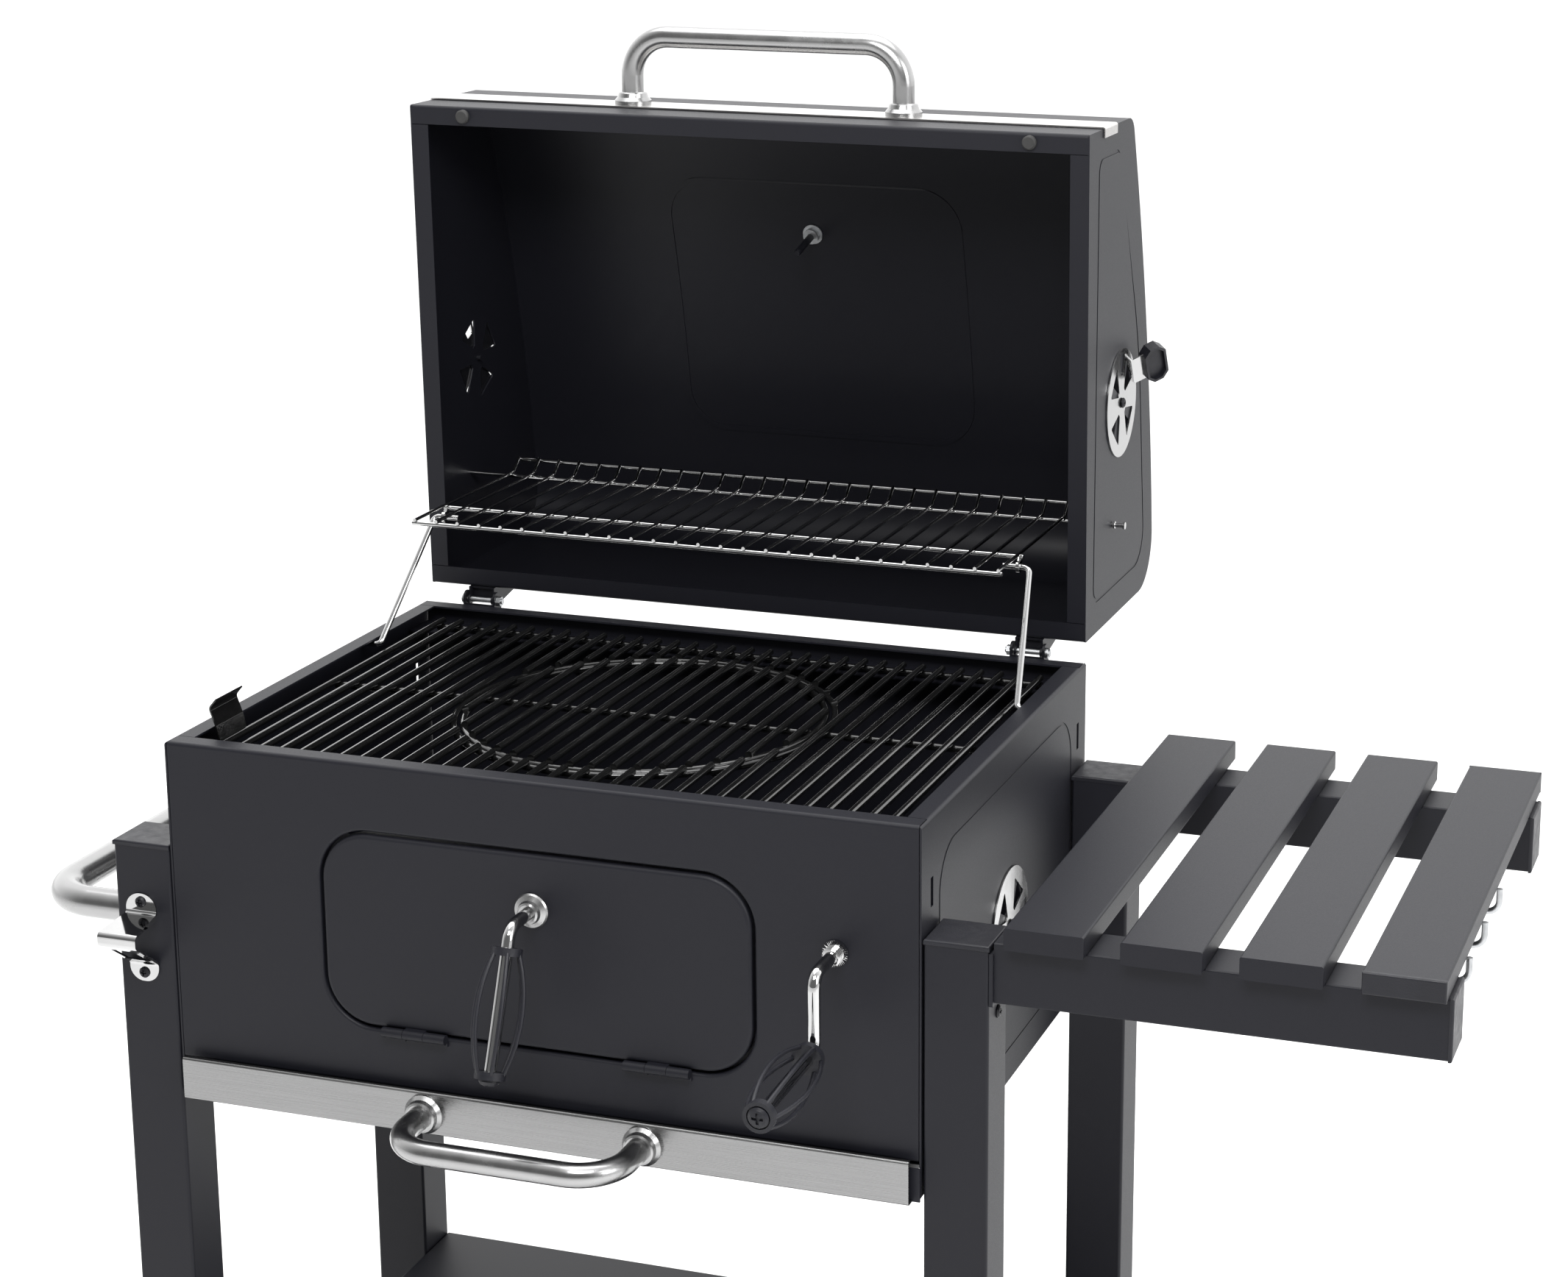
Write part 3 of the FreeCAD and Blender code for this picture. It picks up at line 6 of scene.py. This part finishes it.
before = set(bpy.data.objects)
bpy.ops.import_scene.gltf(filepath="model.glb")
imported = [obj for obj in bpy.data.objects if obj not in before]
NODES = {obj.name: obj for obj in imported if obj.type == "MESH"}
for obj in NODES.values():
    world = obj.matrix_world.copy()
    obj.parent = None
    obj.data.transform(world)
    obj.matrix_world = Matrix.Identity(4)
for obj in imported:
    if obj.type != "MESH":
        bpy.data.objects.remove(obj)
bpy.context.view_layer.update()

# Places on the part, in metres in the frame's own coordinates.
LID_CORNERS = (Vector((-0.4305, -0.1, 0.8)), Vector((0.1855, 0.6, 1.4)))
FIREBOX_CORNERS = (Vector((-0.4335, -0.2535, 0.5)), Vector((0.1885, 0.2, 0.8545)))
CRANK_AXIS = (0.1225, 0.749)          # X and Z
CRANK_THREAD_R = 0.008
CRANK_BUTTON_Y = -0.395               # the button's faces lie in front of this
STEM_ROD_Y = 0.345                    # the thermometer's black rod lies in front of this
WHEEL_AXIS = (0.216, 0.080)           # X and Z
TYRE_INNER_R = 0.0645
FLOOR_REACH = 30.0

# Camera: place in metres, angles in radians, lens and sensor in millimetres.
CAMERA_PLACE = (0.8744, -2.2842, 1.6181)
CAMERA_YAW, CAMERA_PITCH, CAMERA_ROLL = 0.30056, 0.24215, 0.00725
CAMERA_LENS = 71.82
CAMERA_SHIFT = (-0.1362, -0.0800)


# ---- materials -----------------------------------------------------------------------------

class Maker:
    """Builds one procedural material, node by node."""

    def __init__(self, name):
        self.mat = bpy.data.materials.new(name)
        self.mat.use_nodes = True
        self.tree = self.mat.node_tree
        self.tree.nodes.clear()
        self.out = self.tree.nodes.new("ShaderNodeOutputMaterial")
        self.shader = self.tree.nodes.new("ShaderNodeBsdfPrincipled")
        self.link(self.shader.outputs["BSDF"], self.out.inputs["Surface"])
        self.coords = self.tree.nodes.new("ShaderNodeTexCoord").outputs["Object"]

    def link(self, source, target):
        self.tree.links.new(source, target)

    def set(self, **values):
        for key, value in values.items():
            self.shader.inputs[key.replace("_", " ")].default_value = value
        return self

    def scaled(self, scale):
        """Object coordinates stretched per axis."""
        node = self.tree.nodes.new("ShaderNodeMapping")
        node.inputs["Scale"].default_value = scale
        self.link(self.coords, node.inputs["Vector"])
        return node.outputs["Vector"]

    def noise(self, scale, detail=4.0, rough=0.55, stretch=None):
        node = self.tree.nodes.new("ShaderNodeTexNoise")
        node.inputs["Scale"].default_value = scale
        node.inputs["Detail"].default_value = detail
        node.inputs["Roughness"].default_value = rough
        self.link(self.scaled(stretch) if stretch else self.coords, node.inputs["Vector"])
        return node.outputs["Fac"]

    def speckle(self, scale):
        node = self.tree.nodes.new("ShaderNodeTexVoronoi")
        node.inputs["Scale"].default_value = scale
        self.link(self.coords, node.inputs["Vector"])
        return node.outputs["Distance"]

    def ramp(self, fac, stops):
        node = self.tree.nodes.new("ShaderNodeValToRGB")
        elements = node.color_ramp.elements
        while len(elements) < len(stops):
            elements.new(0.5)
        for element, (place, colour) in zip(elements, stops):
            element.position = place
            element.color = (*colour, 1.0)
        self.link(fac, node.inputs["Fac"])
        return node.outputs["Color"]

    def spread(self, fac, low, high, start=0.3, end=0.7):
        node = self.tree.nodes.new("ShaderNodeMapRange")
        for key, value in (("From Min", start), ("From Max", end), ("To Min", low), ("To Max", high)):
            node.inputs[key].default_value = value
        self.link(fac, node.inputs["Value"])
        return node.outputs["Result"]

    def mix(self, fac, a, b, blend="MIX"):
        node = self.tree.nodes.new("ShaderNodeMix")
        node.data_type = "RGBA"
        node.blend_type = blend
        for socket, value in (("Factor", fac), ("A", a), ("B", b)):
            target = [s for s in node.inputs if s.name == socket and s.enabled][0]
            if hasattr(value, "is_output"):
                self.link(value, target)
            else:
                target.default_value = value
        return [s for s in node.outputs if s.enabled][0]

    def colour(self, output):
        self.link(output, self.shader.inputs["Base Color"])
        return self

    def roughness(self, output):
        self.link(output, self.shader.inputs["Roughness"])
        return self

    def bump(self, height, strength, distance):
        node = self.tree.nodes.new("ShaderNodeBump")
        node.inputs["Strength"].default_value = strength
        node.inputs["Distance"].default_value = distance
        self.link(height, node.inputs["Height"])
        previous = self.shader.inputs["Normal"].links
        if previous:
            self.link(previous[0].from_socket, node.inputs["Normal"])
        self.link(node.outputs["Normal"], self.shader.inputs["Normal"])
        return self


def grey(value, warm=0.0):
    """Linear grey, a little warmer or cooler."""
    return (value * (1 + warm), value, value * (1 - warm))


def cool(value):
    """Linear grey with the slight blue of black paint."""
    return (value * 0.94, value * 0.96, value * 1.35)


def powder_coat(name, tone, rough=(0.46, 0.56), grain=0.3, gloss=0.4):
    """Fine-textured satin powder coat with a trace of dust."""
    m = Maker(name)
    m.set(Specular_IOR_Level=gloss)
    fine = m.noise(1500.0, 3, 0.6)
    dust = m.noise(310.0, 4, 0.7)
    base = m.ramp(fine, [(0.3, cool(tone * 0.92)), (0.7, cool(tone * 1.08))])
    m.colour(m.mix(m.spread(dust, 0.0, 0.25, 0.66, 0.8), base, (*cool(tone * 1.8), 1.0)))
    m.roughness(m.spread(fine, *rough))
    m.bump(fine, grain, 0.0002)
    return m.mat


def brushed(name, along, tone=0.56, warm=0.02, rough=(0.2, 0.36)):
    """Brushed stainless steel with grain along one axis, 0 to 2."""
    m = Maker(name)
    m.set(Metallic=1.0)
    stretch = [420.0, 420.0, 420.0]
    stretch[along] = 3.0
    fine = m.noise(2.2, 6, 0.7, stretch)
    broad = m.noise(9.0, 2)
    stops = [(0.3, grey(tone * 0.82, warm)), (0.7, grey(tone * 1.12, warm))]
    m.colour(m.mix(0.15, m.ramp(fine, stops), m.ramp(broad, stops)))
    m.roughness(m.spread(fine, *rough))
    m.bump(fine, 0.25, 0.00012)
    return m.mat


def chrome(name, tone=0.72, rough=(0.05, 0.16)):
    """Bright plating with faint smudges and a slightly uneven drawn surface."""
    m = Maker(name)
    m.set(Metallic=1.0)
    smudge = m.noise(45.0, 5, 0.6)
    m.colour(m.ramp(smudge, [(0.35, grey(tone * 0.94)), (0.65, grey(tone))]))
    m.roughness(m.spread(smudge, *rough))
    m.bump(m.noise(900.0, 2), 0.06, 0.00004)
    return m.mat


def enamel(name, tone=0.006, rough=(0.14, 0.3)):
    """Gloss enamel with an orange-peel surface and dust-fine speckles."""
    m = Maker(name)
    m.set(Specular_IOR_Level=0.4, Coat_Weight=0.3, Coat_Roughness=0.08)
    speckle = m.ramp(m.speckle(900.0), [(0.0, grey(tone * 3.0)), (0.12, grey(tone))])
    cloud = m.ramp(m.noise(25.0, 4), [(0.3, grey(tone)), (0.7, grey(tone * 1.8))])
    m.colour(m.mix(0.3, cloud, speckle))
    m.roughness(m.spread(m.noise(80.0, 3), *rough))
    m.bump(m.noise(420.0, 2), 0.16, 0.0005)
    return m.mat


def plastic(name, tone=0.012, rough=(0.38, 0.52), grain=700.0):
    """Moulded black plastic with a fine leathered texture."""
    m = Maker(name)
    m.set(Specular_IOR_Level=0.3)
    m.colour(m.ramp(m.noise(18.0, 3), [(0.3, cool(tone)), (0.7, cool(tone * 1.5))]))
    m.roughness(m.spread(m.noise(120.0, 3), *rough))
    m.bump(m.speckle(grain), 0.2, 0.0003)
    return m.mat


def rubber(name, tone=0.014):
    """Dull rubber with a bloom of dust."""
    m = Maker(name)
    m.colour(m.ramp(m.noise(40.0, 5), [(0.3, grey(tone)), (0.75, grey(tone * 2.0, 0.04))]))
    m.roughness(m.spread(m.noise(90.0, 3), 0.62, 0.8))
    m.bump(m.noise(900.0, 3), 0.3, 0.0003)
    return m.mat


def zinc(name, tone=0.42):
    """Plain zinc-plated steel with a faint spangle."""
    m = Maker(name)
    m.set(Metallic=1.0)
    spangle = m.speckle(160.0)
    m.colour(m.ramp(spangle, [(0.0, grey(tone * 0.8, -0.02)), (0.8, grey(tone * 1.1, -0.02))]))
    m.roughness(m.spread(m.noise(70.0, 4), 0.3, 0.45))
    m.bump(m.noise(350.0, 3), 0.12, 0.0003)
    return m.mat


def paint(node, *materials):
    """Gives a CAD node its finished materials."""
    slots = NODES[node].data.materials
    slots.clear()
    for material in materials:
        slots.append(material)


def paint_part(node, material, chosen):
    """Gives the faces for which chosen(centre, normal) holds another material; both in metres."""
    body = NODES[node]
    place = body.matrix_world
    turn = place.to_3x3()
    body.data.materials.append(material)
    last = len(body.data.materials) - 1
    for face in body.data.polygons:
        if chosen(place @ face.center, (turn @ face.normal).normalized()):
            face.material_index = last


def inside(low, high):
    """Test for faces within a box that look towards its middle."""
    middle = (low + high) / 2

    def chosen(centre, normal):
        within = all(a < c < b for a, c, b in zip(low, centre, high))
        return within and normal.dot(middle - centre) > 0.0
    return chosen


def beyond(radius, axis):
    """Test for faces further than radius from a line along Y, given by its X and Z."""
    return lambda centre, normal: math.hypot(centre.x - axis[0], centre.z - axis[1]) > radius


def in_front_of(y):
    """Test for faces nearer the front than y."""
    return lambda centre, normal: centre.y < y


COAT = powder_coat("powder_coat", 0.0085, (0.42, 0.52), 0.3, 0.21)
COAT_BLACK = powder_coat("black_coat", 0.006, (0.38, 0.48), 0.3, 0.24)
COAT_INNER = powder_coat("inner_coat", 0.010, (0.40, 0.50), 0.25, 0.2)
# A darker copy of the powder coat for the lid's inward faces: painted shade inside the hollow lid
COAT_LID_SHADE = powder_coat("lid_painted_shade", 0.0065, (0.32, 0.42), 0.25, 0.22)
STEEL_STRIP = brushed("brushed_strip", 0, 0.48)
STEEL_DRAWER = brushed("brushed_drawer", 0, 0.25, 0.0)
SATIN = chrome("satin_steel", 0.36, (0.2, 0.3))
CHROME = chrome("bright_chrome", 0.5, (0.04, 0.1))
DISC = chrome("satin_disc", 0.42, (0.1, 0.2))
ENAMEL = enamel("black_enamel", 0.003, (0.08, 0.16))
PLASTIC = plastic("black_plastic", 0.007)
RUBBER = rubber("black_rubber")
ZINC = zinc("zinc_plate")

for node_name in NODES:
    paint(node_name, COAT)
paint("lid_strip", STEEL_STRIP)
paint("drawer_front", STEEL_DRAWER)
for node_name in ("lid_handle", "drawer_handle", "push_handle", "latch_rosette"):
    paint(node_name, SATIN)
for node_name in ("warming_rack", "rack_stays", "bottle_opener", "latch_rod", "crank_spindle",
                  "crank_bushings"):
    paint(node_name, CHROME)
for node_name in ("lid_vent_left", "lid_vent_right", "box_vent_left", "box_vent_right"):
    paint(node_name, DISC)
for node_name in ("cooking_grate", "grate_insert"):
    paint(node_name, ENAMEL)
for node_name in ("tube_caps", "leg_feet", "latch_grip", "crank_grip", "lid_vent_knob_right",
                  "lid_vent_knob_left", "box_vent_knob_right", "box_vent_knob_left"):
    paint(node_name, PLASTIC)
paint("lid_bumpers", RUBBER)
for node_name in ("wheel_front", "wheel_rear"):
    paint(node_name, PLASTIC)
    paint_part(node_name, RUBBER, beyond(TYRE_INNER_R, WHEEL_AXIS))
for node_name in ("hinge_bolts", "axle", "lift_carriage", "thermometer_stem", "thermometer_case",
                  "tool_hooks"):
    paint(node_name, ZINC)
for node_name in ("cart_screws", "lid_screws", "hinge_lugs", "lid_hinge_brackets"):
    paint(node_name, COAT_BLACK)
for node_name in ("coal_pan", "ash_tray", "box_ledges"):
    paint(node_name, COAT_INNER)

# Painted shade: the lid's inward faces get the darker copy of the coat
for node_name in ("lid_shell", "lid_side_right", "lid_side_left"):
    paint_part(node_name, COAT_LID_SHADE, inside(*LID_CORNERS))
for node_name in NODES:
    if node_name.startswith("firebox_"):
        paint_part(node_name, COAT_INNER, inside(*FIREBOX_CORNERS))
paint_part("crank_bushings", COAT_BLACK, beyond(CRANK_THREAD_R, CRANK_AXIS))
paint_part("crank_spindle", PLASTIC, in_front_of(CRANK_BUTTON_Y))
paint_part("thermometer_stem", COAT_BLACK, in_front_of(STEM_ROD_Y))


# ---- stage, light and camera ---------------------------------------------------------------

def area_light(name, place, target, size, power):
    """Soft rectangular light aimed at a point."""
    data = bpy.data.lights.new(name, "AREA")
    data.shape = "RECTANGLE"
    data.size, data.size_y = size
    data.energy = power
    light = bpy.data.objects.new(name, data)
    bpy.context.scene.collection.objects.link(light)
    light.location = place
    light.rotation_euler = (Vector(target) - Vector(place)).to_track_quat("-Z", "Y").to_euler()


def make_floor():
    """Plain pale floor."""
    mesh = bpy.data.meshes.new("studio_floor")
    corners = [(x * FLOOR_REACH, y * FLOOR_REACH, 0) for x, y in ((-1, -1), (1, -1), (1, 1), (-1, 1))]
    mesh.from_pydata(corners, [], [(0, 1, 2, 3)])
    floor = bpy.data.objects.new("studio_floor", mesh)
    bpy.context.scene.collection.objects.link(floor)
    m = Maker("pale_floor")
    m.colour(m.ramp(m.noise(2.0, 3), [(0.3, grey(0.89)), (0.7, grey(0.92))]))
    m.roughness(m.spread(m.noise(6.0, 2), 0.7, 0.8))
    mesh.materials.append(m.mat)


def make_camera():
    """Camera at the photograph's viewing angle."""
    yaw, pitch, roll = CAMERA_YAW, CAMERA_PITCH, CAMERA_ROLL
    forward = Vector((-math.sin(yaw) * math.cos(pitch), math.cos(yaw) * math.cos(pitch),
                      -math.sin(pitch)))
    level = Vector((math.cos(yaw), math.sin(yaw), 0.0))
    upright = level.cross(forward)
    right = math.cos(roll) * level + math.sin(roll) * upright
    up = math.cos(roll) * upright - math.sin(roll) * level
    data = bpy.data.cameras.new("camera")
    data.lens = CAMERA_LENS
    data.sensor_width = 36.0
    data.shift_x, data.shift_y = CAMERA_SHIFT
    data.clip_end = 100.0
    camera = bpy.data.objects.new("camera", data)
    bpy.context.scene.collection.objects.link(camera)
    turn = Matrix((right, up, -forward)).transposed().to_4x4()
    camera.matrix_world = Matrix.Translation(CAMERA_PLACE) @ turn
    bpy.context.scene.camera = camera


def make_world():
    """White studio: bright above and behind the object, dim on the near side."""
    world = bpy.data.worlds.new("studio")
    world.use_nodes = True
    tree = world.node_tree
    coords = tree.nodes.new("ShaderNodeTexCoord")
    parts = tree.nodes.new("ShaderNodeSeparateXYZ")
    tree.links.new(coords.outputs["Generated"], parts.inputs["Vector"])
    depth = tree.nodes.new("ShaderNodeMapRange")
    for key, value in (("From Min", -0.75), ("From Max", 0.35), ("To Min", 0.22), ("To Max", 1.9)):
        depth.inputs[key].default_value = value
    tree.links.new(parts.outputs["Y"], depth.inputs["Value"])
    tree.links.new(depth.outputs["Result"], tree.nodes["Background"].inputs["Strength"])
    tree.nodes["Background"].inputs["Color"].default_value = (1.0, 1.0, 1.0, 1.0)
    bpy.context.scene.world = world


make_floor()
make_world()
area_light("key_right", (3.4, -1.4, 2.4), (0.2, 0.0, 0.9), (1.6, 2.2), 72.0)
area_light("top_soft", (-0.3, 0.4, 3.8), (0.0, 0.0, 0.8), (3.2, 2.6), 80.0)
area_light("front_top", (0.3, -1.5, 2.4), (-0.1, 0.2, 1.2), (1.1, 0.6), 45.0)
bpy.context.scene.view_settings.view_transform = "Standard"
make_camera()
